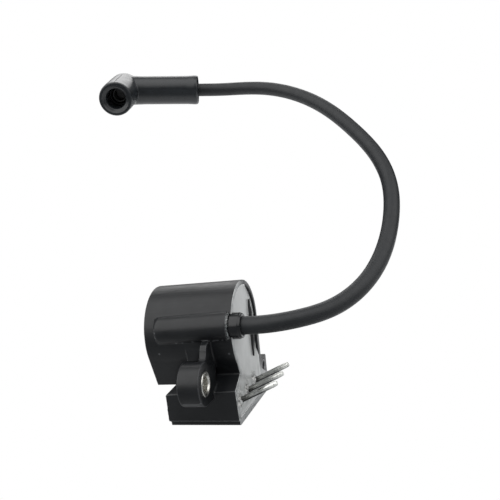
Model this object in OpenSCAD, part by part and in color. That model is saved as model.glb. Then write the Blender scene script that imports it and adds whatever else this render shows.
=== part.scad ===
// Ignition coil of a small engine, with its high-tension lead and spark-plug boot.
// Origin: on the foot's flat face, under the barrel axis, halfway along the foot block.
// +X runs along the barrel axis towards the potted end, +Y to the back, +Z up.

/* [Barrel] */
// Outer radius of the coil barrel at its closed end
barrel_r = 18.3; // [18:0.1:19]
// Height of the barrel axis above the foot face
barrel_z = 34.4; // [34:0.1:35]
// Length of the barrel, from its closed end to its potted end
barrel_len = 36.4; // [36:0.1:38]
// Wall thickness of the moulded case
wall = 1.8; // [1.5:0.1:2]
// How far the potting resin lies below the rim of the open end
potting_recess = 0.6; // [0.3:0.1:1]

/* [Foot block] */
// Length of the foot block along the barrel axis
block_len = 28.8; // [28:0.1:30]
// Height of the stepped-in strip along the bottom
toe_h = 1.7; // [1:0.1:2]
// How far that strip is stepped in
toe_inset = 0.8; // [0.4:0.1:1]

/* [Lead tube] */
// Outer radius of the tube that the lead plugs into
tube_r = 6.3; // [6:0.1:6.6]
// Length of the tube
tube_len = 30; // [28:0.5:30.5]
// Diameter of the high-tension lead
lead_d = 7; // [6.8:0.1:7.2]
// Outer radius of the collar around the lead
collar_r = 5.1; // [4.8:0.1:5.5]
// Length of the collar outside the tube
collar_len = 5.2; // [4:0.1:7]

/* [Mounting ears] */
// Radius of the front ear
ear_r = 8.2; // [7.5:0.1:8.5]
// Length of the front ear along its bolt
ear_len = 8.4; // [8:0.1:9]
// Outer diameter of the front bushing
bush_od = 9.4; // [9:0.1:10]
// Bore diameter of the front bushing
bush_id = 6.4; // [6.2:0.1:6.6]
// Outer diameter of the rear insert
insert_od = 6; // [5.6:0.1:6.2]
// Bore diameter of the rear insert
insert_id = 4.2; // [4:0.1:4.4]

/* [Terminal pins] */
// Diameter of a terminal pin
pin_d = 2.2; // [1.8:0.1:2.4]
// Distance between neighbouring pins
pin_pitch = 11; // [10.5:0.1:11.5]
// Length of a pin outside the resin
pin_len = 17; // [12:0.1:18]
// Upward tilt of the pins, in degrees
pin_tilt = 24; // [20:1:26]

/* [Plug boot] */
// Outer radius of the boot where the lead goes in
boot_r = 7.9; // [7.6:0.1:8.2]
// Distance from the elbow to the end where the lead goes in
boot_len = 42; // [40:0.5:44]
// Outer radius of the boot's mouth
mouth_r = 8.7; // [8.5:0.1:9]
// Distance from the elbow to the face of the mouth
mouth_len = 28; // [27:0.5:30]
// Radius of the socket in the mouth
socket_r = 5.1; // [5:0.1:5.4]

/* [Hidden] */
$fn = 96;

eps = 0.01;
lead_r = lead_d / 2;
end_x = block_len / 2;
left_x = end_x - barrel_len;
potting_x = end_x - potting_recess;
cavity_x = left_x + wall;
flare = 0.6;

// Section of the case, as (y, z) points: the crease under the barrel, the shoulder and the foot.
front_crease = [-12.7, 18.7];
front_shoulder = [-21.3, 14.1];
front_toe = -19.4;
back_crease = [18.6, 11.5];
back_shoulder = [29, 6.7];
back_toe = 28.2;
shoulder_fall = 2.2;
end_lean = 3;
end_chamfer_z = 12.8;
keel_half = 10.6;
keel_z = 13.8;
tangent = [-16.4, 26.3];
end_out = end_chamfer_z * tan(end_lean);

// Lead tube, and the wall that closes it off inside the barrel
tube_y = -14.9;
tube_z = 37.9;
tube_x = 12.8;
tube_left = tube_x - tube_len;
tube_round = 1.8;
tube_draft = 0.4;
tube_dip = 1.4;
bore_left = tube_left + 2.5;
bore_wall = 1.4;
spigot_r = 4.5;
spigot_len = 6;
exit_x = tube_x + collar_len;
bead_t = 1.1;
bead_inset = 0.25;

// Front ear, its rib and the pad beside the rib
ear_x = -2.8;
ear_y = -28.5;
ear_z = 19.4;
neck_top = 24;
ear_reach = 12;
rib_x = [2.7, 5.3];
rib_front = -24.2;
pad_x = -5;
pad_y = -18.3;
pad_z = 25.4;
pad_t = 6;

// Rear lug
lug_x = [5.4, 13.8];
lug_top = 15.3;
insert_y = 23.8;
insert_z = 11.2;

// Coil pack inside the barrel
pack_y = 2.6;
pack_x = [-18.2, 8.6];
pack_r = 12.5;
core_side = 8;
sheet_t = 0.8;
tube_ir = 5.8;
primary_r = 7;
primary_od = 8.8;
secondary_r = 10;
flange_t = 1;
slots = 6;
needle_r = 0.8;
needle_tip = -7;
plate_x = [-19.6, -18.9];
fin_out = 0.5;

// Electronics inside the foot block
board_x = [-11.5, 10.4];
board_y = [-15, 15];
board_z = 5.9;
board_t = 1.6;
part_z = board_z + board_t;
cap_size = [11, 20, 7];
cap_pos = [-9.2, -10, part_z];
scr_size = [10, 9, 2.8];
scr_pos = [-9, -12, board_z - scr_size.z];
diode_r = 1.35;
diode_len = 5;
diode_x = -8;
diode_ys = [1, 6, 11];
resistor_r = 1.15;
resistor_len = 6;
resistor_x = 2;
resistor_ys = [2, 8];
wire_r = 0.5;
wire_x = 10;
wire_top = 28;
wire_ys = [-1, 8.2];

// Pins
pin_r = pin_d / 2;
pin_mid_y = -4.6;
pin_foot_x = 3;
pin_tip = 2.6;
pin_bend_x = potting_x - 1.2;
pin_step = 1.1;
pin_heel = 1;
neck_r = 0.9;
neck_len = 1.3;
tail_w = 1.6;
tail_h = 1.4;

// Plug boot: where its elbow is, and how its two arms are turned
elbow = [-72, 96, 152];
boot_turn = [18, 5, 16];
elbow_r = 9.1;
free_gap = 2;
lead_stop = 10.6;
run_gap = 0.05;
conductor_r = 1.3;
screw_r = 0.95;
screw_len = 9;
socket_len = 13;
clip_r = 3.75;
clip_ir = 3.15;
clip_y = [-14, -5];
spring_r = 0.4;
stem_r = 1.4;
stem_top = 1.2;
lip_r = 6.9;
lip_depth = 1.6;

// Route of the free lead, from the collar to the boot. The first and last two points follow
// from the tube and the boot, so that the lead leaves each of them square.
boot_axis = [
    cos(boot_turn.y) * cos(boot_turn.z),
    cos(boot_turn.y) * sin(boot_turn.z),
    -sin(boot_turn.y)
];
lead_in = elbow + (boot_len + free_gap) * boot_axis;
route = concat(
    [[exit_x, tube_y, tube_z], [exit_x + 10, tube_y, tube_z]],
    [
        [41, -11, 39], [53, -3, 41], [64, 7, 48], [71, 20, 59], [74, 34, 72], [74, 49, 86],
        [68, 62, 100], [57, 75, 113], [44, 87, 126], [29, 97, 136], [12, 105, 143], [-4, 110, 146]
    ],
    [lead_in + 12 * boot_axis, lead_in]
);
rings_per_leg = 2;
lead_sides = 12;

// ---------- helpers ----------

// Extrudes a (y, z) outline along X from x0 to x1.
module along_x(x0, x1) {
    translate([x0, 0, 0])
        rotate([90, 0, 90])
            linear_extrude(x1 - x0) children();
}

// A round rod along X from x0 to x1 at (y, z).
module rod_x(x0, x1, y, z, r) {
    translate([x0, y, z])
        rotate([0, 90, 0])
            cylinder(h = x1 - x0, r = r);
}

// A round ring along X.
module ring_x(x0, x1, y, z, r_out, r_in) {
    difference() {
        rod_x(x0, x1, y, z, r_out);
        rod_x(x0 - eps, x1 + eps, y, z, r_in);
    }
}

// Places children in the boot's own frame: +X along the lead, -Y towards the mouth.
module in_boot() {
    translate(elbow)
        rotate(boot_turn) children();
}

// A round rod along the boot's mouth axis, from y0 to y1.
module rod_mouth(y0, y1, r) {
    translate([0, y1, 0])
        rotate([90, 0, 0])
            cylinder(h = y1 - y0, r = r);
}

// ---------- case ----------

// Outline of the case at the foot block, drawn in by t all round.
module block_outline(t = 0) {
    polygon([
        [0, barrel_z],
        [tangent.x + t, tangent.y],
        [front_crease.x + t, front_crease.y - t / 4],
        [front_shoulder.x + 1.3 * t, front_shoulder.y - t],
        [front_toe + t, toe_h + t / 2],
        [back_toe - t, toe_h + t / 2],
        [back_shoulder.x - t, back_shoulder.y - t],
        [back_crease.x - 1.6 * t, back_crease.y - t],
        [back_crease.x - 1.6 * t, barrel_z]
    ]);
}

// Outline of the keel that joins the barrel to the block and runs on under its closed end.
module keel_outline(t = 0) {
    polygon([
        [0, barrel_z],
        [tangent.x + t, tangent.y],
        [-keel_half + t, keel_z + t],
        [keel_half - t, keel_z + t],
        [-tangent.x - t, tangent.y]
    ]);
}

// The round barrel between x0 and x1, drawn in by t. It widens a little towards the open end.
module barrel(x0, x1, t = 0) {
    slope = flare / barrel_len;
    translate([x0, 0, barrel_z])
        rotate([0, 90, 0])
            cylinder(
                h = x1 - x0,
                r1 = barrel_r - t + slope * (x0 - left_x),
                r2 = barrel_r - t + slope * (x1 - left_x)
            );
}

// The lead tube: a drafted tube with a rounded blind end, which dips a little towards that end.
module tube_body() {
    blind_r = tube_r - tube_draft;
    translate([tube_x, tube_y, tube_z])
        rotate([0, -90 - tube_dip, 0])
            rotate_extrude() {
                polygon([
                    [0, 0], [tube_r, 0],
                    [blind_r, tube_len - tube_round],
                    [blind_r - tube_round, tube_len], [0, tube_len]
                ]);
                translate([blind_r - tube_round, tube_len - tube_round])
                    circle(r = tube_round);
            }
}

module front_ear() {
    along_x(ear_x, ear_x + ear_len) {
        translate([ear_y, ear_z])
            circle(r = ear_r);
        translate([ear_y, ear_z - ear_r])
            square([ear_reach, neck_top - ear_z + ear_r]);
    }
    // rib from the ear up to the lead tube
    along_x(rib_x[0], rib_x[1])
        polygon([
            [rib_front - 3.5, ear_z + ear_r - 0.7],
            [rib_front - 1, ear_z + ear_r + 0.8],
            [rib_front, ear_z + ear_r + 2.8],
            [rib_front, tube_z - tube_r - 0.8],
            [rib_front + 1.2, tube_z - tube_r + 1],
            [tube_y - 4.5, tube_z - 4.1],
            [tube_y, tube_z - 4.1],
            [tube_y, ear_z]
        ]);
    // pad beside the rib
    translate([pad_x, pad_y, pad_z])
        cube([rib_x[0] - pad_x, pad_t, tube_z - pad_z]);
}

module rear_lug() {
    along_x(lug_x[0], lug_x[1])
        polygon([
            [back_crease.x - 2, back_crease.y - 2],
            [back_crease.x - 2, lug_top],
            [back_shoulder.x - 0.8, lug_top],
            [back_shoulder.x, lug_top - 0.8],
            [back_shoulder.x, back_shoulder.y],
            [back_shoulder.x - 1, back_shoulder.y - 2]
        ]);
}

// What is cut off the block at its closed end: the front shoulder falls away towards that end,
// its top edge is cut off at 45 degrees, and the end itself leans out towards the foot.
module end_cuts(t = 0) {
    rise = front_crease - front_shoulder;
    far = 2 * barrel_len;
    spare = 5;
    translate([end_x, front_shoulder.x, front_shoulder.y - t])
        rotate([atan2(rise.y, rise.x), 0, 0])
            rotate([0, -shoulder_fall, 0])
                translate([-far, -spare, 0])
                    cube([far + spare, norm(rise) + spare, 2 * spare]);
    translate([-end_x + 1.4 * t, -far / 2, end_chamfer_z])
        rotate([0, -45, 0])
            translate([-far, 0, 0])
                cube([2 * far, far, far]);
    translate([-end_x + t, -far / 2, end_chamfer_z])
        rotate([0, end_lean, 0])
            translate([-far, 0, -far / 2])
                cube([far, far, far]);
}

// The block from the closed end to x1, drawn in by t.
module foot_block(x1, t = 0) {
    difference() {
        along_x(-end_x - end_out, x1) block_outline(t);
        end_cuts(t);
    }
}

module case_solid() {
    barrel(left_x, end_x);
    along_x(left_x, end_x) keel_outline();
    foot_block(end_x);
    tube_body();
    front_ear();
    rear_lug();
    // stepped-in strip along the bottom
    translate([-end_x - end_out + toe_inset, front_toe + toe_inset, 0])
        cube([block_len + end_out - toe_inset, back_toe - front_toe - 2 * toe_inset, toe_h + 1]);
}

// The space inside the case, up to x1.
module case_cavity(x1) {
    barrel(cavity_x, x1, wall);
    along_x(cavity_x, x1) keel_outline(wall);
    foot_block(x1, wall);
}

// The tube's own wall where it crosses the cavity.
module tube_liner() {
    rod_x(tube_left, tube_x, tube_y, tube_z, lead_r + bore_wall);
}

// Where the collar passes the open end of the barrel.
module collar_notch() {
    rod_x(tube_x, end_x + eps, tube_y, tube_z, collar_r);
}

module housing() {
    color([0.06, 0.06, 0.065])
        difference() {
            union() {
                difference() {
                    case_solid();
                    case_cavity(end_x + eps);
                }
                tube_liner();
            }
            rod_x(bore_left, tube_x + eps, tube_y, tube_z, lead_r);
            rod_x(tube_x - spigot_len, tube_x + eps, tube_y, tube_z, spigot_r);
            collar_notch();
            rod_x(cavity_x, bore_left + eps, tube_y, tube_z, needle_r);
            rod_x(ear_x - eps, ear_x + ear_len + eps, ear_y, ear_z, bush_od / 2);
            rod_x(lug_x[0] - eps, lug_x[1] + eps, insert_y, insert_z, insert_od / 2);
        }
}

module potting() {
    color([0.68, 0.69, 0.69])
        difference() {
            case_cavity(potting_x);
            tube_liner();
            collar_notch();
            rod_x(pack_x[0], pack_x[1], pack_y, barrel_z, pack_r);
            locating_fin();
            high_tension_plate();
            high_tension_needle();
            board_shape();
            translate(cap_pos) cube(cap_size);
            translate(scr_pos) cube(scr_size);
            diodes();
            resistors();
            primary_wires();
            for (i = [-1 : 1]) pin(i);
        }
}

// ---------- coil pack ----------

module core_laminations() {
    sheets = floor(core_side / sheet_t);
    color([0.45, 0.45, 0.47])
        for (i = [0 : sheets - 1])
            translate([pack_x[0], pack_y - core_side / 2, barrel_z - core_side / 2 + i * sheet_t])
                cube([pack_x[1] - pack_x[0], core_side, sheet_t * 0.96]);
}

module primary_bobbin() {
    color([0.12, 0.12, 0.13])
        difference() {
            union() {
                rod_x(pack_x[0], pack_x[1], pack_y, barrel_z, primary_r);
                rod_x(pack_x[0], pack_x[0] + flange_t, pack_y, barrel_z, primary_od);
                rod_x(pack_x[1] - flange_t, pack_x[1], pack_y, barrel_z, primary_od);
            }
            rod_x(pack_x[0] - eps, pack_x[1] + eps, pack_y, barrel_z, tube_ir);
        }
}

module primary_winding() {
    color([0.72, 0.38, 0.2])
        ring_x(pack_x[0] + flange_t, pack_x[1] - flange_t, pack_y, barrel_z, primary_od, primary_r);
}

// Tab on the end of the secondary bobbin that shows in the face of the resin.
module locating_fin() {
    along_x(pack_x[1], potting_x + fin_out)
        polygon([[9.3, 19.6], [11.2, 24], [11.4, 36], [10.2, 43.6], [9.4, 36], [9.2, 24]]);
}

module secondary_bobbin() {
    span = pack_x[1] - pack_x[0] - flange_t;
    color([0.08, 0.08, 0.085])
        difference() {
            union() {
                rod_x(pack_x[0], pack_x[1], pack_y, barrel_z, secondary_r);
                for (i = [0 : slots])
                    rod_x(pack_x[0] + i * span / slots, pack_x[0] + i * span / slots + flange_t,
                          pack_y, barrel_z, pack_r);
                locating_fin();
            }
            rod_x(pack_x[0] - eps, pack_x[1] + eps, pack_y, barrel_z, primary_od);
        }
}

module secondary_winding() {
    span = pack_x[1] - pack_x[0] - flange_t;
    color([0.66, 0.3, 0.14])
        for (i = [0 : slots - 1])
            ring_x(pack_x[0] + i * span / slots + flange_t, pack_x[0] + (i + 1) * span / slots,
                   pack_y, barrel_z, pack_r - 0.6, secondary_r);
}

module high_tension_plate() {
    color([0.78, 0.62, 0.3]) {
        along_x(plate_x[0], plate_x[1]) {
            translate([tube_y, tube_z])
                circle(r = 1);
            translate([pack_y, barrel_z])
                circle(r = 3);
            polygon([
                [tube_y, tube_z - 0.9], [pack_y, barrel_z - 1.6],
                [pack_y, barrel_z + 1.6], [tube_y, tube_z + 0.9]
            ]);
        }
        // foot that reaches the last section of the secondary
        rod_x(plate_x[1], pack_x[0], pack_y, barrel_z, 2);
    }
}

module high_tension_needle() {
    color([0.8, 0.8, 0.82]) {
        rod_x(plate_x[1], needle_tip, tube_y, tube_z, needle_r);
        translate([needle_tip, tube_y, tube_z])
            rotate([0, 90, 0])
                cylinder(h = 2, r1 = needle_r, r2 = 0.1);
    }
}

// ---------- electronics ----------

module board_shape() {
    translate([board_x[0], board_y[0], board_z])
        cube([board_x[1] - board_x[0], board_y[1] - board_y[0], board_t]);
}

module circuit_board() {
    color([0.12, 0.35, 0.18]) board_shape();
}

module storage_capacitor() {
    color([0.55, 0.12, 0.1])
        translate(cap_pos) cube(cap_size);
}

module thyristor() {
    color([0.1, 0.1, 0.1])
        translate(scr_pos) cube(scr_size);
}

module diodes() {
    color([0.15, 0.15, 0.15])
        for (y = diode_ys)
            rod_x(diode_x, diode_x + diode_len, y, board_z - diode_r, diode_r);
}

module resistors() {
    color([0.75, 0.6, 0.4])
        for (y = resistor_ys)
            rod_x(resistor_x, resistor_x + resistor_len, y, board_z - resistor_r, resistor_r);
}

module primary_wires() {
    color([0.72, 0.38, 0.2])
        for (y = wire_ys) {
            translate([wire_x, y, part_z])
                cylinder(h = wire_top - part_z, r = wire_r);
            rod_x(pack_x[1], wire_x, y, wire_top, wire_r);
            translate([wire_x, y, wire_top])
                sphere(r = wire_r);
        }
}

// ---------- terminal pins ----------

// One pin: a flat tail on the board, then a round pin that slants up out of the resin to a
// tapered tip, with a thinner neck where the resin holds it. Each pin bends a little further in
// than the one in front of it.
module pin(i) {
    y = pin_mid_y + i * pin_pitch;
    bend_x = pin_bend_x - i * pin_step;
    out = pin_len + (potting_x - bend_x) / cos(pin_tilt);
    translate([pin_foot_x, y - tail_w / 2, part_z])
        cube([bend_x - pin_foot_x, tail_w, tail_h]);
    translate([bend_x, y, part_z + pin_r])
        rotate([0, 90 - pin_tilt, 0]) {
            translate([0, 0, -pin_heel])
                cylinder(h = out - pin_tip + pin_heel, r = neck_r);
            translate([0, 0, out - pin_len + neck_len])
                cylinder(h = pin_len - neck_len - pin_tip, r = pin_r);
            translate([0, 0, out - pin_tip])
                cylinder(h = pin_tip, r1 = pin_r, r2 = pin_r * 0.45);
        }
}

module earth_pin() {
    color([0.85, 0.85, 0.83]) pin(-1);
}

module trigger_pin() {
    color([0.85, 0.85, 0.83]) pin(0);
}

module charge_pin() {
    color([0.85, 0.85, 0.83]) pin(1);
}

// ---------- ear fittings ----------

module front_bushing() {
    color([0.8, 0.79, 0.75])
        ring_x(ear_x - 0.2, ear_x + ear_len + 0.2, ear_y, ear_z, bush_od / 2, bush_id / 2);
}

module rear_insert() {
    color([0.7, 0.7, 0.7])
        ring_x(lug_x[0], lug_x[1], insert_y, insert_z, insert_od / 2, insert_id / 2);
}

// ---------- lead ----------

module lead_collar() {
    color([0.04, 0.04, 0.045])
        difference() {
            union() {
                rod_x(tube_x - spigot_len, tube_x, tube_y, tube_z, spigot_r);
                rod_x(tube_x, exit_x, tube_y, tube_z, collar_r);
            }
            rod_x(tube_x - spigot_len - eps, exit_x + eps, tube_y, tube_z, lead_r);
        }
}

// Sealant laid on the tube's mouth, which leans back by the tube's dip.
module sealant_bead() {
    color([0.7, 0.72, 0.72])
        difference() {
            translate([tube_x, tube_y, tube_z])
                rotate([0, 90 - tube_dip, 0])
                    rotate_extrude()
                        polygon([
                            [collar_r - bead_inset, 0], [tube_r - bead_inset, 0],
                            [tube_r - 2 * bead_inset, bead_t / 2], [collar_r - bead_inset, bead_t]
                        ]);
            rod_x(tube_x - bead_t, exit_x, tube_y, tube_z, collar_r);
            barrel(left_x, end_x);
        }
}

module seated_lead() {
    color([0.07, 0.07, 0.075])
        ring_x(bore_left, exit_x, tube_y, tube_z, lead_r, conductor_r);
}

module seated_conductor() {
    color([0.72, 0.45, 0.25])
        difference() {
            rod_x(bore_left, exit_x, tube_y, tube_z, conductor_r);
            high_tension_needle();
        }
}

// Uniform cubic B-spline through the route, held at both ends.
last = len(route) - 1;
held = concat(
    [2 * route[0] - route[1]],
    route,
    [2 * route[last] - route[last - 1]]
);
function spline(i, t) =
    (pow(1 - t, 3) * held[i]
     + (3 * pow(t, 3) - 6 * t * t + 4) * held[i + 1]
     + (-3 * pow(t, 3) + 3 * t * t + 3 * t + 1) * held[i + 2]
     + pow(t, 3) * held[i + 3]) / 6;
path = concat(
    [for (i = [0 : last - 1], k = [0 : rings_per_leg - 1]) spline(i, k / rings_per_leg)],
    [route[last]]
);
count = len(path);

function unit(v) = v / norm(v);
function heading(i) =
    i == 0 ? unit(route[1] - route[0])
    : i == count - 1 ? unit(route[last] - route[last - 1])
    : unit(path[i + 1] - path[i - 1]);
// Sideways direction of each ring, carried along the path so that the tube doesn't twist.
function carry(side, way) = unit(side - (side * way) * way);
function sides(i, side) =
    i == count ? [] : concat([carry(side, heading(i))], sides(i + 1, carry(side, heading(i))));
side_dirs = sides(0, [0, 1, 0]);

module ht_lead() {
    points = [
        for (i = [0 : count - 1])
            let (a = side_dirs[i], b = cross(heading(i), a))
                for (k = [0 : lead_sides - 1])
                    let (angle = 360 * k / lead_sides)
                        path[i] + lead_r * (cos(angle) * a + sin(angle) * b)
    ];
    skin = [
        for (i = [0 : count - 2], k = [0 : lead_sides - 1])
            let (n = (k + 1) % lead_sides)
                [i * lead_sides + k, (i + 1) * lead_sides + k, (i + 1) * lead_sides + n, i * lead_sides + n]
    ];
    first_cap = [for (k = [0 : lead_sides - 1]) k];
    last_cap = [for (k = [lead_sides - 1 : -1 : 0]) (count - 1) * lead_sides + k];
    color([0.07, 0.07, 0.075])
        polyhedron(points, concat(skin, [first_cap, last_cap]));
}

module lead_end() {
    color([0.07, 0.07, 0.075])
        in_boot() ring_x(lead_stop, boot_len + free_gap, 0, 0, lead_r, conductor_r);
}

module end_conductor() {
    color([0.72, 0.45, 0.25])
        in_boot()
            difference() {
                rod_x(lead_stop, boot_len + free_gap, 0, 0, conductor_r);
                rod_x(lead_stop - eps, lead_stop + screw_len, 0, 0, screw_r + run_gap);
            }
}

// ---------- plug boot ----------

module plug_boot() {
    color([0.05, 0.05, 0.055])
        in_boot()
            difference() {
                union() {
                    rod_x(0, boot_len, 0, 0, boot_r);
                    sphere(r = elbow_r);
                    rod_mouth(-mouth_len, 0, mouth_r);
                }
                rod_x(lead_stop, boot_len + eps, 0, 0, lead_r + run_gap);
                rod_x(0, lead_stop + eps, 0, 0, screw_r);
                rod_mouth(-mouth_len - eps, -mouth_len + socket_len, socket_r);
                translate([0, -mouth_len + lip_depth, 0])
                    rotate([90, 0, 0])
                        cylinder(h = lip_depth + eps, r1 = socket_r, r2 = lip_r);
                rod_mouth(-mouth_len, clip_y[1], clip_r + 2 * spring_r);
                rod_mouth(clip_y[1] - eps, stem_top, stem_r);
            }
}

module plug_clip() {
    color([0.75, 0.75, 0.72])
        in_boot()
            difference() {
                union() {
                    rod_mouth(clip_y[0], clip_y[1], clip_r);
                    rod_mouth(clip_y[1] - eps, stem_top, stem_r);
                }
                rod_mouth(clip_y[0] - eps, clip_y[1] - 1, clip_ir);
                rod_x(0, stem_r + eps, 0, 0, screw_r);
            }
}

module clip_spring() {
    color([0.8, 0.8, 0.8])
        in_boot()
            translate([0, (clip_y[0] + clip_y[1]) / 2, 0])
                rotate([90, 0, 0])
                    rotate_extrude()
                        translate([clip_r + spring_r, 0])
                            circle(r = spring_r, $fn = 32);
}

module clip_screw() {
    color([0.75, 0.75, 0.72])
        in_boot()
            rod_x(0, lead_stop + screw_len - 0.5, 0, 0, screw_r);
}

housing();
potting();
core_laminations();
primary_bobbin();
primary_winding();
secondary_bobbin();
secondary_winding();
high_tension_plate();
high_tension_needle();
circuit_board();
storage_capacitor();
thyristor();
diodes();
resistors();
primary_wires();
earth_pin();
trigger_pin();
charge_pin();
front_bushing();
rear_insert();
lead_collar();
sealant_bead();
seated_lead();
seated_conductor();
ht_lead();
lead_end();
end_conductor();
plug_boot();
plug_clip();
clip_spring();
clip_screw();
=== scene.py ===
"""Ignition coil with its high-tension lead and plug boot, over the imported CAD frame.

The scene is in metres. Sizes written in mm are multiplied by MM.
"""
import math

import bmesh
import bpy
import numpy as np
from mathutils import Matrix, Vector, noise


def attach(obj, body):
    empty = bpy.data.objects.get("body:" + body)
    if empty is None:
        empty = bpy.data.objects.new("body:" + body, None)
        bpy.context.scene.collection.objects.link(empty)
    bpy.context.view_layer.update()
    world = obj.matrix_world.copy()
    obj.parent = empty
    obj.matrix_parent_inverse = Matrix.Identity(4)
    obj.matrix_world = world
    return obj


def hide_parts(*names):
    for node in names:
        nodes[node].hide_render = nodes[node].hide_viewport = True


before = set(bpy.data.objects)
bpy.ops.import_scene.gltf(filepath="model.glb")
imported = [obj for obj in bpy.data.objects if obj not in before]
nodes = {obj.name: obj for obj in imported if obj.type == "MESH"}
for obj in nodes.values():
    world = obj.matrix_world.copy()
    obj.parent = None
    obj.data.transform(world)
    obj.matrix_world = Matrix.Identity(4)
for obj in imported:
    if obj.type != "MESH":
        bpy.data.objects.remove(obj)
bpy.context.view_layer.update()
MM = 0.001

# Sizes and places as in the CAD source, in mm.
WALL = 1.8
BARREL_R = 18.3
BARREL_Z = 34.4
TUBE_Y, TUBE_Z = -14.9, 37.9
EAR_HOLE = (-28.5, 19.4)
LUG_HOLE = (23.8, 11.2)
RESIN_X = 13.8
PINS = {"earth_pin": -1, "trigger_pin": 0, "charge_pin": 1}
PIN_MID_Y, PIN_PITCH = -4.6, 11
PIN_Z = 8.6
PIN_LENGTH = 17
PIN_R = 1.1
PIN_BURIED = 1.2
PIN_STAGGER = 1.1
TILT = math.radians(24)


# ---------- camera ----------

# The place and the directions come from a least-squares fit to points read off the photo.
LENS = 46.8
SENSOR = 36
CAMERA_AT = Vector((0.0892, -0.2485, 0.0880))
RIGHT = Vector((0.96048, 0.26050, -0.09805)).normalized()
FORWARD = Vector((-0.26913, 0.95905, -0.08828)).normalized()


def make_camera():
    cam = bpy.data.objects.new("camera", bpy.data.cameras.new("camera"))
    bpy.context.scene.collection.objects.link(cam)
    up = RIGHT.cross(FORWARD).normalized()
    side = FORWARD.cross(up).normalized()
    m = Matrix((side, up, -FORWARD)).transposed().to_4x4()
    m.translation = CAMERA_AT
    cam.matrix_world = m
    cam.data.lens = LENS
    cam.data.sensor_width = SENSOR
    cam.data.clip_start = 0.01
    cam.data.clip_end = 50
    bpy.context.scene.camera = cam


make_camera()


# ---------- mesh helpers ----------

def link(name, mesh, smooth=True):
    o = bpy.data.objects.new(name, mesh)
    bpy.context.scene.collection.objects.link(o)
    if smooth:
        for p in mesh.polygons:
            p.use_smooth = True
    return o


def mesh_of(verts, faces):
    me = bpy.data.meshes.new("m")
    me.from_pydata([tuple(v) for v in verts], [], faces)
    me.validate()
    me.update()
    return me


def revolve(profile, sides=64, closed=False):
    """A mesh turned about the local X axis. profile is (x, r) points in mm, from one end to the other."""
    verts, faces, rings = [], [], []
    for x, r in profile:
        if r < 1e-6:
            rings.append([len(verts)])
            verts.append((x * MM, 0, 0))
        else:
            ring = []
            for k in range(sides):
                a = 2 * math.pi * k / sides
                ring.append(len(verts))
                verts.append((x * MM, r * MM * math.cos(a), r * MM * math.sin(a)))
            rings.append(ring)
    pairs = list(zip(rings, rings[1:]))
    if closed:
        pairs.append((rings[-1], rings[0]))
    for a, b in pairs:
        for k in range(sides):
            n = (k + 1) % sides
            if len(a) == 1 and len(b) > 1:
                faces.append((a[0], b[n], b[k]))
            elif len(b) == 1 and len(a) > 1:
                faces.append((a[k], a[n], b[0]))
            elif len(a) > 1:
                faces.append((a[k], a[n], b[n], b[k]))
    me = mesh_of(verts, faces)
    bm = bmesh.new()
    bm.from_mesh(me)
    bmesh.ops.recalc_face_normals(bm, faces=bm.faces)
    bm.to_mesh(me)
    bm.free()
    return me


def rounded(points, radii, steps=5):
    """A profile with its corners rounded. points are (x, r), radii one per point (0 stays sharp)."""
    out = []
    for i, (p, rad) in enumerate(zip(points, radii)):
        if rad <= 0 or i in (0, len(points) - 1):
            out.append(p)
            continue
        a, b, c = Vector(points[i - 1]), Vector(p), Vector(points[i + 1])
        u, v = (a - b).normalized(), (c - b).normalized()
        half = u.angle(v) / 2
        cut = min(rad / math.tan(half), (a - b).length * 0.49, (c - b).length * 0.49)
        r = cut * math.tan(half)
        centre = b + (u + v).normalized() * (r / math.sin(half))
        s, e = (b + u * cut) - centre, (b + v * cut) - centre
        for k in range(steps + 1):
            t = k / steps
            d = (s * (1 - t) + e * t).normalized() * r
            out.append(tuple(centre + d))
    return out


def apply_modifiers(o):
    bpy.context.view_layer.update()
    deps = bpy.context.evaluated_depsgraph_get()
    me = bpy.data.meshes.new_from_object(o.evaluated_get(deps))
    o.modifiers.clear()
    o.data = me
    for p in me.polygons:
        p.use_smooth = True
    return o


def voxel(o, size, passes, factor=0.5):
    """Remeshes a closed mesh at size mm and smooths it, so that its edges and inner corners are rounded."""
    m = o.modifiers.new("v", "REMESH")
    m.mode = "VOXEL"
    m.voxel_size = size * MM
    m.use_smooth_shade = True
    s = o.modifiers.new("s", "SMOOTH")
    s.factor = factor
    s.iterations = passes
    return apply_modifiers(o)


def moved(me, matrix):
    me.transform(matrix)
    return me


# ---------- material helpers ----------

def material(name, base, rough, metal=0.0, coat=0.0, coat_rough=0.1, shine=0.5):
    """A Principled material with one value for each input."""
    m = bpy.data.materials.new(name)
    m.use_nodes = True
    b = m.node_tree.nodes["Principled BSDF"]
    b.inputs["Base Color"].default_value = (*base, 1)
    b.inputs["Roughness"].default_value = rough
    b.inputs["Metallic"].default_value = metal
    b.inputs["Coat Weight"].default_value = coat
    b.inputs["Coat Roughness"].default_value = coat_rough
    b.inputs["Specular IOR Level"].default_value = shine
    return m


def coords(m, where="Object"):
    t = m.node_tree.nodes.new("ShaderNodeTexCoord")
    return t.outputs[where]


def noise_tex(m, scale, detail=3.0, rough=0.55, distortion=0.0, stretch=None):
    """A noise texture in object space. scale is in cells per metre."""
    nt = m.node_tree
    n = nt.nodes.new("ShaderNodeTexNoise")
    n.inputs["Scale"].default_value = scale
    n.inputs["Detail"].default_value = detail
    n.inputs["Roughness"].default_value = rough
    n.inputs["Distortion"].default_value = distortion
    src = coords(m)
    if stretch:
        mp = nt.nodes.new("ShaderNodeMapping")
        mp.inputs["Scale"].default_value = stretch
        nt.links.new(src, mp.inputs["Vector"])
        src = mp.outputs["Vector"]
    nt.links.new(src, n.inputs["Vector"])
    return n.outputs["Fac"]


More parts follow.
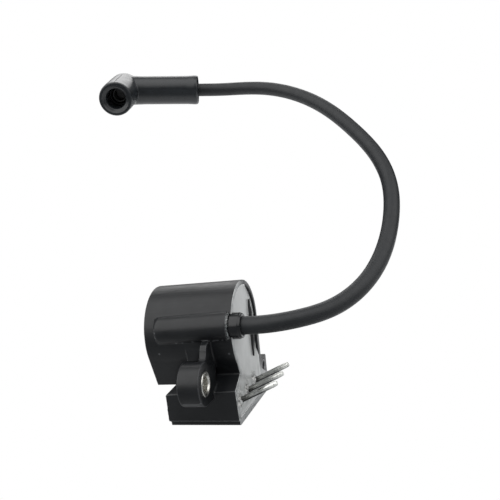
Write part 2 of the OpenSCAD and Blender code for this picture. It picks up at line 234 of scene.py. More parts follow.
def ramp(m, fac, stops):
    """A colour ramp. stops are (position, grey or colour)."""
    r = m.node_tree.nodes.new("ShaderNodeValToRGB")
    el = r.color_ramp.elements
    while len(el) > len(stops):
        el.remove(el[-1])
    while len(el) < len(stops):
        el.new(1.0)
    for e, (p, c) in zip(el, stops):
        e.position = p
        c = (c, c, c) if isinstance(c, (int, float)) else c
        e.color = (*c, 1)
    m.node_tree.links.new(fac, r.inputs["Fac"])
    return r.outputs["Color"]


def math_node(m, op, a, b=None, clamp=False):
    n = m.node_tree.nodes.new("ShaderNodeMath")
    n.operation = op
    n.use_clamp = clamp
    for i, v in enumerate((a, b)):
        if v is None:
            continue
        if isinstance(v, (int, float)):
            n.inputs[i].default_value = v
        else:
            m.node_tree.links.new(v, n.inputs[i])
    return n.outputs[0]


def mix_color(m, fac, a, b):
    n = m.node_tree.nodes.new("ShaderNodeMix")
    n.data_type = "RGBA"
    for sock, v in ((n.inputs[0], fac), (n.inputs[6], a), (n.inputs[7], b)):
        if isinstance(v, (tuple, list)):
            sock.default_value = (*v, 1) if len(v) == 3 else v
        elif isinstance(v, (int, float)):
            sock.default_value = v
        else:
            m.node_tree.links.new(v, sock)
    return n.outputs[2]


def bump(m, height, distance, strength=1.0, before=None):
    n = m.node_tree.nodes.new("ShaderNodeBump")
    n.inputs["Distance"].default_value = distance
    n.inputs["Strength"].default_value = strength
    m.node_tree.links.new(height, n.inputs["Height"])
    if before is not None:
        m.node_tree.links.new(before, n.inputs["Normal"])
    return n.outputs["Normal"]


def plug(m, out, socket):
    m.node_tree.links.new(out, m.node_tree.nodes["Principled BSDF"].inputs[socket])


def moulded(name, dark, light, rough, grain=0.00002, spread=0.08, coat=0.0, coat_rough=0.3, shine=0.5):
    """Moulded plastic or rubber: a faint mottle, a fine grain in the bump and uneven gloss."""
    m = material(name, light, rough[0], coat=coat, coat_rough=coat_rough, shine=shine)
    cloud = noise_tex(m, 160, 4, 0.6)
    plug(m, ramp(m, cloud, [(0.5 - spread * 2, dark), (0.5 + spread * 2, light)]), "Base Color")
    patch = noise_tex(m, 260, 3, 0.6)
    plug(m, ramp(m, patch, [(0.35, rough[0]), (0.65, rough[1])]), "Roughness")
    fine = noise_tex(m, 5200, 2, 0.5)
    wide = noise_tex(m, 420, 2, 0.5)
    n1 = bump(m, wide, grain * 2.5, 0.5)
    plug(m, bump(m, fine, grain, 0.6, n1), "Normal")
    return m


def metal(name, dark, light, rough, stretch=(1, 1, 1), scale=900, depth=0.00002):
    """Turned, drawn or tinned metal: streaked along the stretched axis."""
    m = material(name, light, rough[0], metal=1.0)
    streak = noise_tex(m, scale, 4, 0.6, stretch=stretch)
    plug(m, ramp(m, streak, [(0.3, dark), (0.7, light)]), "Base Color")
    plug(m, ramp(m, streak, [(0.3, rough[1]), (0.7, rough[0])]), "Roughness")
    plug(m, bump(m, streak, depth, 0.6), "Normal")
    return m


def paint(o, m):
    o.data.materials.clear()
    o.data.materials.append(m)
    return o


def finish_piece(o, m, body, slot, *replaced):
    paint(o, m)
    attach(o, body)
    if replaced:
        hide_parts(*replaced)
    return o


# The painted highlight line along the step above the foot's face, and where resin is smeared on the rim, in
# mm.
STEP_HIGHLIGHT_Z, STEP_HIGHLIGHT_HALF = 1.85, 0.2
RIM_FACE_X = 14.1
FILM_LOW_Z, FILM_LOW_FADE = 15, 4
FILM_FRONT_Y, FILM_FRONT_FADE = 3, 8


def case_look():
    """Black moulded plastic, with painted highlights along its convex edges and the step line, and resin
    smeared on the rim.
    """
    m = moulded(
        "case plastic", (0.0050, 0.0056, 0.0066), (0.0085, 0.0093, 0.0106), (0.31, 0.40), shine=0.38,
    )
    nt = m.node_tree
    base = nt.nodes["Principled BSDF"].inputs["Base Color"].links[0].from_socket
    geo = nt.nodes.new("ShaderNodeNewGeometry")
    # Paler along convex edges: a painted highlight where the edges catch the light.
    painted_edge_highlight = ramp(m, geo.outputs["Pointiness"], [(0.522, 0.0), (0.565, 1.0)])
    base = mix_color(m, math_node(m, "MULTIPLY", painted_edge_highlight, 0.7), base, (0.11, 0.114, 0.12))
    sep = nt.nodes.new("ShaderNodeSeparateXYZ")
    nt.links.new(coords(m), sep.inputs[0])
    # A pale line along the step above the foot: a painted highlight on the step's edge.
    off_step_highlight = math_node(m, "ABSOLUTE", math_node(m, "SUBTRACT", sep.outputs["Z"], STEP_HIGHLIGHT_Z * MM))
    step_highlight = math_node(m, "LESS_THAN", off_step_highlight, STEP_HIGHLIGHT_HALF * MM)
    base = mix_color(m, math_node(m, "MULTIPLY", step_highlight, 0.9), base, (0.12, 0.124, 0.13))
    face = math_node(m, "GREATER_THAN", sep.outputs["X"], RIM_FACE_X * MM)
    low = math_node(m, "SUBTRACT", FILM_LOW_Z * MM, sep.outputs["Z"])
    low = math_node(m, "DIVIDE", low, FILM_LOW_FADE * MM, clamp=True)
    front = math_node(m, "SUBTRACT", FILM_FRONT_Y * MM, sep.outputs["Y"])
    front = math_node(m, "DIVIDE", front, FILM_FRONT_FADE * MM, clamp=True)
    smear = ramp(m, noise_tex(m, 420, 3, 0.6), [(0.30, 0.5), (0.55, 1.0)])
    film = math_node(m, "MULTIPLY", face, math_node(m, "MAXIMUM", low, front))
    film = math_node(m, "MULTIPLY", film, smear)
    plug(m, mix_color(m, film, base, (0.40, 0.41, 0.41)), "Base Color")
    return m


case_plastic = case_look()
jacket = moulded(
    "lead jacket", (0.0120, 0.0135, 0.0150), (0.0160, 0.0175, 0.0195), (0.44, 0.52), 0.000012, shine=0.36,
)
collar_gloss = moulded(
    "collar plastic", (0.0045, 0.005, 0.006), (0.006, 0.0065, 0.0075), (0.16, 0.20), 0.000004, shine=0.45,
)
bushing_metal = metal(
    "bushing metal", (0.52, 0.51, 0.47), (0.90, 0.89, 0.85), (0.22, 0.38), (0.15, 1, 1), 1400,
)
insert_metal = metal(
    "insert metal", (0.16, 0.16, 0.165), (0.30, 0.30, 0.31), (0.38, 0.55), (0.15, 1, 1), 1400,
)
# The plug clip's metal is near-black: painted shade for the clip deep in the boot's bore.
shaded_clip_metal = metal("clip metal", (0.06, 0.06, 0.06), (0.12, 0.12, 0.115), (0.30, 0.45), (1, 0.2, 1), 1200)
steel = metal("core steel", (0.28, 0.28, 0.30), (0.46, 0.46, 0.48), (0.35, 0.5), (0.1, 1, 1), 1200)
copper = metal("copper wire", (0.45, 0.16, 0.07), (0.80, 0.34, 0.16), (0.22, 0.34), (12, 0.3, 0.3), 500)
brassy = metal("contact metal", (0.52, 0.36, 0.12), (0.80, 0.60, 0.26), (0.25, 0.4), (0.3, 1, 1), 1000)
bobbin_plastic = moulded("bobbin plastic", (0.012, 0.012, 0.013), (0.022, 0.022, 0.024), (0.35, 0.5))
board_green = moulded("board laminate", (0.03, 0.12, 0.05), (0.05, 0.18, 0.08), (0.35, 0.5))
capacitor_red = moulded("capacitor case", (0.30, 0.03, 0.02), (0.42, 0.05, 0.03), (0.2, 0.3))
chip_black = moulded("chip body", (0.012, 0.012, 0.012), (0.02, 0.02, 0.02), (0.4, 0.55))
resistor_tan = moulded("resistor body", (0.42, 0.30, 0.17), (0.55, 0.42, 0.26), (0.3, 0.45))


# ---------- lead ----------

LEAD_R = 3.5
EXIT = Vector((18.0, TUBE_Y, TUBE_Z)) * MM
ELBOW = Vector((-72, 96, 152)) * MM
BOOT = (
    Matrix.Translation(ELBOW)
    @ Matrix.Rotation(math.radians(16), 4, "Z")
    @ Matrix.Rotation(math.radians(5), 4, "Y")
    @ Matrix.Rotation(math.radians(18), 4, "X")
)
LEAD_IN = BOOT @ (Vector((44, 0, 0)) * MM)
BOOT_WAY = (BOOT.to_3x3() @ Vector((1, 0, 0))).normalized()

# The free points of the lead's route, in mm, as in the CAD source. They were not chosen by hand: they are
# the rounded result of a least-squares fit to the lead's line in the photo.
MIDDLE = [
    (41, -11, 39), (53, -3, 41), (64, 7, 48), (71, 20, 59), (74, 34, 72), (74, 49, 86),
    (68, 62, 100), (57, 75, 113), (44, 87, 126), (29, 97, 136), (12, 105, 143), (-4, 110, 146),
]
ROUTE = (
    [EXIT, EXIT + Vector((10, 0, 0)) * MM]
    + [Vector(p) * MM for p in MIDDLE]
    + [LEAD_IN + BOOT_WAY * 12 * MM, LEAD_IN]
)


def spline(points, steps):
    """Uniform cubic B-spline that follows the points, held at both ends, as in the CAD source."""
    p = [points[0] * 2 - points[1]] + points + [points[-1] * 2 - points[-2]]
    out = []
    for i in range(len(points) - 1):
        for k in range(steps):
            t = k / steps
            a = (1 - t) ** 3
            b = 3 * t ** 3 - 6 * t * t + 4
            c = -3 * t ** 3 + 3 * t * t + 3 * t + 1
            out.append((p[i] * a + p[i + 1] * b + p[i + 2] * c + p[i + 3] * t ** 3) / 6)
    out.append(points[-1].copy())
    return out


def make_lead():
    line = spline(ROUTE, 10)
    cu = bpy.data.curves.new("lead", "CURVE")
    cu.dimensions = "3D"
    s = cu.splines.new("POLY")
    s.points.add(len(line) - 1)
    for q, v in zip(s.points, line):
        q.co = (*v, 1)
    s.use_smooth = True
    cu.bevel_depth = LEAD_R * MM
    cu.bevel_resolution = 8
    cu.use_fill_caps = True
    o = bpy.data.objects.new("lead", cu)
    bpy.context.scene.collection.objects.link(o)
    finish_piece(o, jacket, "coil", "lead_jacket", "ht_lead")
    return o


# ---------- boot ----------

def boolean(base, other, how):
    m = base.modifiers.new("b", "BOOLEAN")
    m.operation = how
    m.solver = "EXACT"
    m.object = other
    apply_modifiers(base)
    bpy.data.objects.remove(other)
    return base


# The box that cuts a shallow groove on each side of the mouth arm, in mm.
GROOVE_WIDE, GROOVE_LONG, GROOVE_TALL = 0.34, 26.6, 1.3
GROOVE_Y, GROOVE_Z = -15, 9.35


def make_boot():
    to_mouth = Matrix.Rotation(-math.pi / 2, 4, "Z")
    shaft = rounded(
        [
            (-1, 0), (-1, 7.6), (3, 8.0), (12, 7.75), (36, 7.8), (40.3, 8.05),
            (42, 7.85), (42, 4.2), (42, 0),
        ],
        [0, 0, 4, 8, 8, 2, 0.9, 0, 0],
    )
    arm = rounded(
        [
            (-6.5, 0), (-9.15, 2.2), (-9.1, 6.2), (-5.5, 9.05), (4, 9.1), (20, 9.0),
            (26.5, 8.85), (28, 8.7), (28, 0),
        ],
        [0, 1.5, 2.5, 4, 8, 8, 3, 0.9, 0],
    )
    body = link("boot", revolve(shaft, 72))
    boolean(body, link("arm", moved(revolve(arm, 72), to_mouth)), "UNION")
    ball = bmesh.new()
    bmesh.ops.create_uvsphere(ball, u_segments=48, v_segments=32, radius=9.05 * MM)
    me = bpy.data.meshes.new("ball")
    ball.to_mesh(me)
    ball.free()
    boolean(body, link("ball", me), "UNION")
    body = voxel(body, 0.3, 10)
    socket = rounded(
        [
            (30, 0), (30, 7.6), (28.0, 7.35), (27.2, 6.4), (26.5, 5.35), (25.6, 5.05),
            (15, 5.05), (15, 4.55), (5, 4.55), (5, 0),
        ],
        [0, 0, 0.4, 1.2, 0.6, 1.2, 0.3, 0.3, 0.3, 0],
    )
    boolean(body, link("socket", moved(revolve(socket, 72), to_mouth)), "DIFFERENCE")
    for side in (-1, 1):
        bm = bmesh.new()
        bmesh.ops.create_cube(bm, size=1)
        for v in bm.verts:
            x, y, z = v.co
            z = side * (GROOVE_Z + z * GROOVE_TALL)
            v.co = Vector((x * GROOVE_WIDE, GROOVE_Y + y * GROOVE_LONG, z)) * MM
        me = bpy.data.meshes.new("groove")
        bm.to_mesh(me)
        bm.free()
        boolean(body, link("groove", me), "DIFFERENCE")
    for p in body.data.polygons:
        p.use_smooth = True
    body.data.set_sharp_from_angle(angle=math.radians(35))
    body.name = "boot"
    body.matrix_world = BOOT
    return finish_piece(body, boot_look(), "boot", "boot_rubber", "plug_boot")


# The parting line's half width, and where it stops on its way to the back, in metres.
PARTING_HALF, PARTING_END = 0.00018, -0.004


def boot_look():
    """The boot's rubber, with the mould's parting line round the mouth arm."""
    m = moulded("boot moulding", (0.0085, 0.0105, 0.0125), (0.0125, 0.0150, 0.0175), (0.27, 0.33), 0.000006)
    nt = m.node_tree
    sep = nt.nodes.new("ShaderNodeSeparateXYZ")
    nt.links.new(coords(m), sep.inputs[0])
    off = math_node(m, "ABSOLUTE", sep.outputs["X"])
    line = math_node(m, "LESS_THAN", off, PARTING_HALF)
    front = math_node(m, "LESS_THAN", sep.outputs["Y"], PARTING_END)
    mask = math_node(m, "MULTIPLY", line, front)
    base = nt.nodes["Principled BSDF"].inputs["Base Color"].links[0].from_socket
    plug(m, mix_color(m, mask, base, (0.012, 0.013, 0.014)), "Base Color")
    return m


# ---------- case ----------

def cad_copy(name, new):
    """A clean copy of a CAD node's mesh, to be worked on as a new piece."""
    bm = bmesh.new()
    bm.from_mesh(nodes[name].data)
    bmesh.ops.remove_doubles(bm, verts=bm.verts, dist=0.000002)
    bmesh.ops.recalc_face_normals(bm, faces=bm.faces)
    me = bpy.data.meshes.new(new)
    bm.to_mesh(me)
    bm.free()
    return link(new, me)


def make_case():
    case = voxel(cad_copy("housing", "case"), 0.3, 5)
    case.name = "case"
    return finish_piece(case, case_plastic, "coil", "case", "housing")


# ---------- resin ----------

def pin_bend(i):
    """The x at which a pin bends downwards inside the resin, in mm."""
    return RESIN_X - PIN_BURIED - PIN_STAGGER * i


def pin_base(i):
    """(y, z) where a pin leaves the resin, in mm."""
    return PIN_MID_Y + PIN_PITCH * i, PIN_Z + (RESIN_X - pin_bend(i)) * math.tan(TILT)


# How far the resin reaches into the wall, its middle as (y, z), and the x of its hidden back, in mm.
RESIN_OVERLAP = 0.6
RESIN_MIDDLE = (2.0, 12.0)
RESIN_BACK_X = 9


def resin_outline(n):
    """n points round the inside of the case, as (y, z) in mm, seen from a point inside the block."""
    r = BARREL_R - WALL + RESIN_OVERLAP
    poly = [
        (0, BARREL_Z), (-16.4 + WALL, 26.3),
        (-12.7 + WALL, 18.7 - WALL / 4), (-21.3 + 1.3 * WALL, 14.1 - WALL),
        (-19.4 + WALL, 1.7 + WALL / 2), (28.2 - WALL, 1.7 + WALL / 2), (29 - WALL, 6.7 - WALL),
        (18.6 - 1.6 * WALL, 11.5 - WALL), (18.6 - 1.6 * WALL, BARREL_Z),
    ]
    cy, cz = RESIN_MIDDLE
    out = []
    for k in range(n):
        a = 2 * math.pi * k / n
        dy, dz = math.cos(a), math.sin(a)
        best = 0
        for (y0, z0), (y1, z1) in zip(poly, poly[1:] + poly[:1]):
            ey, ez = y1 - y0, z1 - z0
            det = dy * -ez + dz * ey
            if abs(det) < 1e-9:
                continue
            t = ((y0 - cy) * -ez + (z0 - cz) * ey) / det
            s = (dy * (z0 - cz) - dz * (y0 - cy)) / det
            if t > 0 and -1e-6 <= s <= 1 + 1e-6:
                best = max(best, t)
        b = dy * cy + dz * (cz - BARREL_Z)
        c = cy * cy + (cz - BARREL_Z) ** 2 - r * r
        if b * b - c > 0:
            best = max(best, -b + math.sqrt(b * b - c))
        out.append((cy + dy * best, cz + dz * best))
    return (cy, cz), out


# How far the resin creeps up the wall, how fast that dies out, and how far it sags in the middle, in mm.
CREEP, CREEP_BACK, CREEP_FADE = 0.6, -0.35, 0.55
SAG, SAG_FADE, SAG_BACK = 0.12, 3, 0.25
# Lumps beside each pin: how far off it in y and z, the size, and the height, in mm.
LUMPS = ((-3.1, 0.6, 1.3, 1.1), (-2.2, -2.6, 1.1, 0.9), (2.6, 2.3, 1.2, 0.5))


def resin_height(y, z, d):
    """How far the resin stands out of its flat level at (y, z), d mm from the wall."""
    back = min(max((y - 4) / 6, 0), 1) * min(max((z - 18) / 4, 0), 1)
    climb = CREEP * (1 - back) + CREEP_BACK * back
    h = climb * math.exp(-d / CREEP_FADE) - SAG * (1 - math.exp(-d / SAG_FADE)) - SAG_BACK * back
    h += 0.05 * noise.noise(Vector((y * 0.25, z * 0.25, 3)))
    for i in PINS.values():
        py, pz = pin_base(i)
        q = math.hypot(y - py, (z - pz) * 0.9)
        rough = noise.noise(Vector((y * 0.8, z * 0.8, i * 3.0)))
        h += 1.3 * math.exp(-((q / 2.0) ** 2)) * (1 + 0.5 * rough)
        h += 0.9 * rough * math.exp(-((q / 4.2) ** 4))
        for ly, lz, size, tall in LUMPS:
            q = math.hypot(y - py - ly, z - pz - lz)
            h += tall * math.exp(-((q / size) ** 2))
    return h


def make_resin():
    n, rings = 300, 64
    (cy, cz), rim = resin_outline(n)
    verts, edge = [(RESIN_X * MM + resin_height(cy, cz, 9) * MM, cy * MM, cz * MM)], [9.0]
    rim2 = [Vector(p) for p in rim]
    for j in range(1, rings + 1):
        f = 1 - (1 - j / rings) ** 1.7
        for k in range(n):
            y, z = cy + (rim[k][0] - cy) * f, cz + (rim[k][1] - cz) * f
            near = [rim2[(k + s) % n] for s in range(-24, 25, 2)]
            d = min((Vector((y, z)) - q).length for q in near) if j < rings else 0.0
            verts.append(((RESIN_X + resin_height(y, z, d)) * MM, y * MM, z * MM))
            edge.append(d)
    faces = [(0, 1 + k, 1 + (k + 1) % n) for k in range(n)]
    for j in range(rings - 1):
        a, b = 1 + j * n, 1 + (j + 1) * n
        for k in range(n):
            m = (k + 1) % n
            faces.append((a + k, b + k, b + m, a + m))
    back = len(verts)
    last = 1 + (rings - 1) * n
    for k in range(n):
        verts.append((RESIN_BACK_X * MM, rim[k][0] * MM, rim[k][1] * MM))
        edge.append(0.0)
    for k in range(n):
        m = (k + 1) % n
        faces.append((last + k, back + k, back + m, last + m))
    faces.append(tuple(back + k for k in range(n - 1, -1, -1)))
    me = mesh_of(verts, faces)
    at = me.attributes.new("from_wall", "FLOAT", "POINT")
    at.data.foreach_set("value", np.array(edge[: len(me.vertices)], np.float32))
    bm = bmesh.new()
    bm.from_mesh(me)
    bmesh.ops.recalc_face_normals(bm, faces=bm.faces)
    bm.to_mesh(me)
    bm.free()
    o = link("resin", me)
    me.set_sharp_from_angle(angle=math.radians(50))
    return finish_piece(o, resin_look(), "coil", "resin", "potting")


def near_point(m, point, inner, outer):
    """1 within inner of a point, falling to 0 at outer. Metres."""
    nt = m.node_tree
    v = nt.nodes.new("ShaderNodeVectorMath")
    v.operation = "DISTANCE"
    nt.links.new(coords(m), v.inputs[0])
    v.inputs[1].default_value = point
    r = nt.nodes.new("ShaderNodeMapRange")
    r.inputs["From Min"].default_value = inner
    r.inputs["From Max"].default_value = outer
    r.inputs["To Min"].default_value = 1
    r.inputs["To Max"].default_value = 0
    nt.links.new(v.outputs["Value"], r.inputs["Value"])
    return r.outputs[0]


# Painted shade around each pin: how far off it in y and z, and where it is full and gone, in mm.
PIN_SHADE_SPOTS = ((-1.2, 0.3, 1.2, 4.0), (-1.6, -1.0, 0.2, 1.6), (1.6, -0.9, 0.2, 1.4))


def resin_look():
    """Grey resin: softly clouded, with a painted highlight along the wall and painted shade around the
    pins.
    """
    m = material("potting resin", (0.5, 0.51, 0.51), 0.4, coat=0.25, coat_rough=0.15)
    nt = m.node_tree
    soft = noise_tex(m, 90, 3, 0.5)
    base = ramp(m, soft, [(0.3, (0.40, 0.41, 0.405)), (0.7, (0.49, 0.50, 0.495))])
    # The dark end of this ramp is painted shade round the pin bases, broken up by noise.
    pin_shade_noise = noise_tex(m, 620, 4, 0.65, 0.6)
    dark = ramp(m, pin_shade_noise, [(0.40, (0.012, 0.012, 0.013)), (0.56, (0.40, 0.40, 0.39))])
    for i in PINS.values():
        y, z = pin_base(i)
        for dy, dz, near, far in PIN_SHADE_SPOTS:
            pin_shade_spot = near_point(m, (RESIN_X * MM, (y + dy) * MM, (z + dz) * MM), near * MM, far * MM)
            base = mix_color(m, math_node(m, "MULTIPLY", pin_shade_spot, 0.92), base, dark)
    # Paler within about a millimetre of the wall: a painted highlight on the resin's meniscus.
    a = nt.nodes.new("ShaderNodeAttribute")
    a.attribute_name = "from_wall"
    rim = ramp(m, math_node(m, "DIVIDE", a.outputs["Fac"], 2.0), [(0.0, 1.0), (0.22, 0.6), (0.5, 0.0)])
    base = mix_color(m, math_node(m, "MULTIPLY", rim, 0.75), base, (0.80, 0.81, 0.81))
    plug(m, base, "Base Color")
    plug(m, ramp(m, noise_tex(m, 300, 3, 0.6), [(0.3, 0.32), (0.7, 0.46)]), "Roughness")
    plug(m, bump(m, noise_tex(m, 700, 3, 0.5), 0.00003, 0.5), "Normal")
    return m


# ---------- fittings ----------

def at_x(y, z):
    """A move to an axis along X through (y, z), in mm."""
    return Matrix.Translation(Vector((0, y, z)) * MM)


def make_pins():
    """Round tinned pins that slant down out of the resin, each a little rough."""
    for name, i in PINS.items():
        y, _ = pin_base(i)
        bend = pin_bend(i)
        out = PIN_LENGTH + (RESIN_X - bend) / math.cos(TILT)
        p = rounded(
            [(0, 0), (0, PIN_R), (out - 3.4, 1.14), (out - 1.4, PIN_R), (out, 0.92), (out, 0)],
            [0, 0, 1.5, 1.5, 0.45, 0],
        )
        me = revolve(p, 40)
        for v in me.vertices:
            w = 0.05 * noise.noise(v.co * 900 + Vector((i, 0, 0)))
            v.co.y *= 1 + w
            v.co.z *= 1 + w
        o = link(name + "_metal", me)
        at = Matrix.Translation(Vector((bend, y, PIN_Z)) * MM)
        o.matrix_world = at @ Matrix.Rotation(-TILT, 4, "Y")
        finish_piece(o, pin_look(out), "coil", "pin_metal", name)


# Beads beside a pin: how far off it in y and z, and the size, in mm.
BEADS = ((-2.2, 1.0, 1.25), (-3.4, -0.5, 1.0), (-1.6, -1.7, 0.85), (1.8, 0.8, 0.75))
# The furthest forward that a bead may stand, and how far its middle is above the resin, in mm.
BEAD_FRONT_Y = -19.3
BEAD_RISE = 0.35
BEAD_METALLIC = 0.2


def make_lumps():
    """Glossy beads that stand on the resin around each pin, most of them on its front side."""
    bead_look = metal(
        "solder bead", (0.010, 0.010, 0.010), (0.92, 0.92, 0.90), (0.12, 0.3), (1, 1, 1), 800,
    )
    bead_look.node_tree.nodes["Principled BSDF"].inputs["Metallic"].default_value = BEAD_METALLIC
    for name, i in PINS.items():
        y, z = pin_base(i)
        for k, (dy, dz, size) in enumerate(BEADS):
            bm = bmesh.new()
            bmesh.ops.create_icosphere(bm, subdivisions=4, radius=1)
            for v in bm.verts:
                w = 1 + 0.45 * noise.noise(v.co * 1.3 + Vector((i * 5, k * 3, 0)))
                v.co = Vector((v.co.x * 0.75, v.co.y, v.co.z * 1.15)) * w * size * MM
            me = bpy.data.meshes.new("bead")
            bm.to_mesh(me)
            bm.free()
            if y + dy < BEAD_FRONT_Y:
                dy = BEAD_FRONT_Y - y
            o = link("%s_bead_%d" % (name, k), moved(me, at_x(y + dy, z + dz)))
            o.location.x = (RESIN_X + BEAD_RISE) * MM
            finish_piece(o, bead_look, "coil", "resin")


# How far from its tip a pin is worn, where the painted shade on its underside begins, and how they fade, in
# mm.
WORN_FROM_TIP, WORN_FADE = 7, 5
UNDER_SHADE_FROM, UNDER_SHADE_FADE = -0.25, 0.35


def pin_look(out):
    """Tinned metal: duller and specked towards the tip, with painted shade on its underside."""
    m = metal(
        "tinned pin %.1f" % out, (0.20, 0.205, 0.195), (0.86, 0.87, 0.84), (0.14, 0.30), (0.2, 1, 1), 1100,
    )
    nt = m.node_tree
    sep = nt.nodes.new("ShaderNodeSeparateXYZ")
    nt.links.new(coords(m), sep.inputs[0])
    tip = math_node(m, "SUBTRACT", sep.outputs["X"], (out - WORN_FROM_TIP) * MM)
    tip = math_node(m, "DIVIDE", tip, WORN_FADE * MM, clamp=True)
    base = nt.nodes["Principled BSDF"].inputs["Base Color"].links[0].from_socket
    grain = noise_tex(m, 900, 3, 0.6, 0.5)
    speck = ramp(m, grain, [(0.34, (0.30, 0.30, 0.27)), (0.46, (0.90, 0.91, 0.87))])
    base = mix_color(m, tip, base, speck)
    # Darker on the underside: painted shade, faded out towards the tip.
    under_shade = math_node(m, "SUBTRACT", UNDER_SHADE_FROM * MM, sep.outputs["Z"])
    under_shade = math_node(m, "DIVIDE", under_shade, UNDER_SHADE_FADE * MM, clamp=True)
    shaft = math_node(m, "SUBTRACT", 1.0, math_node(m, "MULTIPLY", tip, 0.8))
    under_shade = math_node(m, "MULTIPLY", under_shade, shaft)
    plug(m, mix_color(m, under_shade, base, (0.015, 0.016, 0.015)), "Base Color")
    plug(m, math_node(m, "SUBTRACT", 1.0, math_node(m, "MULTIPLY", tip, 0.65)), "Metallic")
    return m


def make_bushing():
    p = rounded(
        [
            (-3.0, 3.75), (-3.0, 4.55), (-2.8, 4.7), (5.6, 4.7), (5.8, 4.5), (5.8, 3.8),
            (5.25, 3.2), (-2.5, 3.2),
        ],
        [0, 0.15, 0.15, 0.2, 0.2, 0.25, 0.3, 0],
    )
    o = link("bushing", moved(revolve(p, 72, closed=True), at_x(*EAR_HOLE)))
    o.data.set_sharp_from_angle(angle=math.radians(40))
    finish_piece(o, bushing_metal, "coil", "bushing_metal", "front_bushing")


def make_insert():
    p = rounded(
        [(5.4, 2.4), (5.4, 3.0), (13.8, 3.0), (13.95, 2.8), (13.95, 2.4), (13.6, 2.1), (5.7, 2.1)],
        [0, 0.1, 0.1, 0.1, 0.15, 0.15, 0],
    )
    o = link("insert", moved(revolve(p, 56, closed=True), at_x(*LUG_HOLE)))
    o.data.set_sharp_from_angle(angle=math.radians(40))
    finish_piece(o, insert_metal, "coil", "insert_metal", "rear_insert")


def make_collar():
    p = rounded(
        [(11, 3.5), (11, 5.05), (16.9, 5.1), (17.2, 4.8), (18.0, 4.75), (18.0, 3.9), (17.7, 3.5)],
        [0, 0, 0.25, 0.15, 0.35, 0.3, 0],
    )
    o = link("collar", moved(revolve(p, 72, closed=True), at_x(TUBE_Y, TUBE_Z)))
    o.data.set_sharp_from_angle(angle=math.radians(40))
    finish_piece(o, collar_gloss, "coil", "collar_plastic", "lead_collar")


SEALANT_X = 12.95
SEALANT_R = 5.65
# Thicker places in the ring: the angle and its spread in radians, and how thick.
SEALANT_LUMPS = ((-1.75, 0.16, 1.5), (1.35, 0.12, 1.1), (-2.5, 0.2, 0.5))


def make_sealant():
    """The squeezed-out ring of glue where the collar enters the tube, thicker in places."""
    n, m = 160, 14
    verts, faces = [], []
    for k in range(n):
        a = 2 * math.pi * k / n
        v = Vector((math.cos(a), math.sin(a), 0.7))
        lump = 0.5 + 0.9 * noise.noise(v * 2.3) + 0.2 * noise.noise(v * 6.1)
        for where, size, tall in SEALANT_LUMPS:
            gap = (a - where + math.pi) % (2 * math.pi) - math.pi
            lump += tall * math.exp(-((gap / size) ** 2))
        w = 0.42 + 0.25 * max(lump, 0)
        for j in range(m):
            t = 2 * math.pi * j / m
            r = SEALANT_R + 0.75 * w * math.cos(t) + 0.12 * max(lump - 1, 0)
            x = SEALANT_X + 0.9 * w * math.sin(t)
            verts.append((x * MM, r * MM * math.cos(a), r * MM * math.sin(a)))
    for k in range(n):
        for j in range(m):
            a, b = k * m, ((k + 1) % n) * m
            i = (j + 1) % m
            faces.append((a + j, a + i, b + i, b + j))
    o = link("sealant", moved(mesh_of(verts, faces), at_x(TUBE_Y, TUBE_Z)))
    finish_piece(o, sealant_look(), "coil", "sealant", "sealant_bead")


# The fin's outline as (y, z), and the x and inset of its root, its shoulder and its top, in mm.
FIN_OUTLINE = [
    (9.3, 19.6), (9.0, 22), (8.9, 26), (9.1, 34), (9.6, 40), (10.2, 43.7),
    (11.1, 40), (11.5, 34), (11.4, 26), (10.8, 22),
]
FIN_MIDDLE = (10.2, 32.0)
FIN_LEVELS = ((13.0, 0.0), (14.4, 0.0), (14.7, 0.25))
FIN_END_DROP = 1.1


def make_fin():
    """The bobbin's locating fin, where it stands out of the resin. Its two ends dip into the resin."""
    n = len(FIN_OUTLINE)
    cy, cz = FIN_MIDDLE
    root = FIN_LEVELS[0][0]
    verts = []
    for x, shrink in FIN_LEVELS:
        for y, z in FIN_OUTLINE:
            drop = FIN_END_DROP * min(abs(z - cz) / 12, 1) ** 4 * (x > root)
            f = 1 - shrink / max(math.hypot(y - cy, (z - cz) * 0.15), 0.6)
            g = 1 - shrink * 0.1
            verts.append(((x - drop) * MM, (cy + (y - cy) * f) * MM, (cz + (z - cz) * g) * MM))
    faces = [tuple(range(n - 1, -1, -1)), tuple(range(2 * n, 3 * n))]
    for r in (0, n):
        faces += [(r + k, r + (k + 1) % n, r + n + (k + 1) % n, r + n + k) for k in range(n)]
    o = link("bobbin_fin", mesh_of(verts, faces))
    o.data.set_sharp_from_angle(angle=math.radians(40))
    finish_piece(o, bobbin_plastic, "coil", "bobbin")


def sealant_look():
    """Clear glue, mostly dark from what is under it, with cloudy places."""
    m = material("clear glue", (0.55, 0.57, 0.57), 0.25, coat=0.6, coat_rough=0.1)
    cloud = noise_tex(m, 900, 3, 0.6)
    plug(m, ramp(m, cloud, [(0.50, (0.015, 0.017, 0.018)), (0.72, (0.30, 0.32, 0.32))]), "Base Color")
    plug(m, bump(m, noise_tex(m, 1800, 2, 0.5), 0.00004, 0.6), "Normal")
    return m


CAD_LOOKS = {
    "core_laminations": steel, "primary_bobbin": bobbin_plastic, "secondary_bobbin": bobbin_plastic,
    "primary_winding": copper, "secondary_winding": copper, "primary_wires": copper,
    "high_tension_plate": brassy, "high_tension_needle": brassy, "circuit_board": board_green,
    "storage_capacitor": capacitor_red, "thyristor": chip_black, "diodes": chip_black,
    "resistors": resistor_tan, "seated_lead": jacket, "lead_end": jacket, "seated_conductor": copper,
    "end_conductor": copper, "plug_clip": shaded_clip_metal, "clip_spring": shaded_clip_metal, "clip_screw": shaded_clip_metal,
}

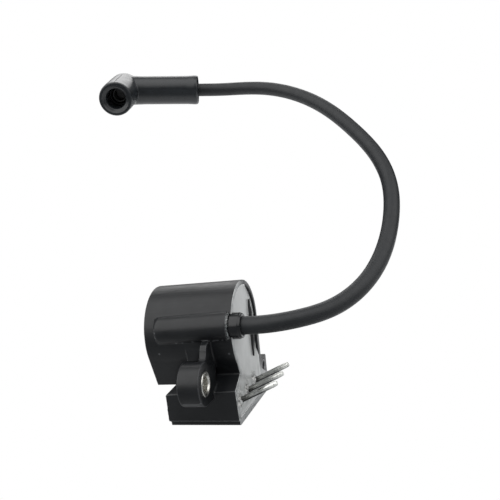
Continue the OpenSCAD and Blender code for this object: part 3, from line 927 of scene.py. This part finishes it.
make_boot()
make_lead()
make_case()
make_resin()
make_pins()
make_bushing()
make_insert()
make_collar()
make_sealant()
make_fin()
make_lumps()
for name, look in CAD_LOOKS.items():
    paint(nodes[name], look)


# ---------- floor and light ----------

# Softboxes: direction, half-angle at full power, half-angle at no power, power.
SOFTBOXES = (
    ((-0.35, -0.52, 0.76), 30, 54, 2.0),
    ((-0.22, 0.74, 0.64), 12, 26, 2.2),
    ((-0.95, -0.25, 0.22), 10, 24, 1.0),
    ((0.80, -0.1, 0.70), 22, 44, 1.75),
    ((0.0, -1.0, 0.1), 89, 91, 0.03),
)
# The floor's own colours, in front of the coil and behind it. The camera sees it as pure white.
FLOOR_FRONT = (0.24, 0.25, 0.26)
FLOOR_BACK = (0.80, 0.81, 0.82)
FLOOR_FADE_Y, FLOOR_FADE = -0.06, 0.10
FLOOR_HALF = 12
FLOOR_DROP = 0.0001


def softbox(nt, ray, towards, inner, outer, power):
    """Light from a round patch of sky: full power within inner degrees of a direction, none past outer."""
    dot = nt.nodes.new("ShaderNodeVectorMath")
    dot.operation = "DOT_PRODUCT"
    nt.links.new(ray, dot.inputs[0])
    dot.inputs[1].default_value = Vector(towards).normalized()
    r = nt.nodes.new("ShaderNodeMapRange")
    r.interpolation_type = "SMOOTHSTEP"
    r.inputs["From Min"].default_value = math.cos(math.radians(outer))
    r.inputs["From Max"].default_value = math.cos(math.radians(inner))
    r.inputs["To Min"].default_value = 0
    r.inputs["To Max"].default_value = power
    nt.links.new(dot.outputs["Value"], r.inputs["Value"])
    return r.outputs[0]


def make_stage():
    """The floor and the light. The camera sees both the floor and the world as pure white."""
    bm = bmesh.new()
    bmesh.ops.create_grid(bm, x_segments=1, y_segments=1, size=FLOOR_HALF)
    me = bpy.data.meshes.new("floor")
    bm.to_mesh(me)
    bm.free()
    floor = link("floor", me, smooth=False)
    floor.location = (0, 0, -FLOOR_DROP)
    m = material("floor", FLOOR_BACK, 1.0, shine=0.0)
    ft = m.node_tree
    sep = ft.nodes.new("ShaderNodeSeparateXYZ")
    ft.links.new(coords(m), sep.inputs[0])
    depth = math_node(m, "SUBTRACT", sep.outputs["Y"], FLOOR_FADE_Y)
    depth = math_node(m, "DIVIDE", depth, FLOOR_FADE, clamp=True)
    plug(m, mix_color(m, depth, FLOOR_FRONT, FLOOR_BACK), "Base Color")
    white = ft.nodes.new("ShaderNodeEmission")
    seen = ft.nodes.new("ShaderNodeLightPath")
    pick = ft.nodes.new("ShaderNodeMixShader")
    ft.links.new(seen.outputs["Is Camera Ray"], pick.inputs[0])
    ft.links.new(ft.nodes["Principled BSDF"].outputs[0], pick.inputs[1])
    ft.links.new(white.outputs[0], pick.inputs[2])
    ft.links.new(pick.outputs[0], ft.nodes["Material Output"].inputs["Surface"])
    paint(floor, m)
    world = bpy.data.worlds.new("studio")
    world.use_nodes = True
    nt = world.node_tree
    bg = nt.nodes["Background"]
    ray = nt.nodes.new("ShaderNodeTexCoord").outputs["Generated"]
    total = None
    for box in SOFTBOXES:
        one = softbox(nt, ray, *box)
        if total is None:
            total = one
        else:
            add = nt.nodes.new("ShaderNodeMath")
            nt.links.new(total, add.inputs[0])
            nt.links.new(one, add.inputs[1])
            total = add.outputs[0]
    path = nt.nodes.new("ShaderNodeLightPath")
    mix = nt.nodes.new("ShaderNodeMix")
    nt.links.new(path.outputs["Is Camera Ray"], mix.inputs[0])
    nt.links.new(total, mix.inputs[2])
    mix.inputs[3].default_value = 1.0
    nt.links.new(mix.outputs[0], bg.inputs["Strength"])
    bg.inputs["Color"].default_value = (1, 1, 1, 1)
    bpy.context.scene.world = world
    bpy.context.scene.view_settings.view_transform = "Standard"


make_stage()
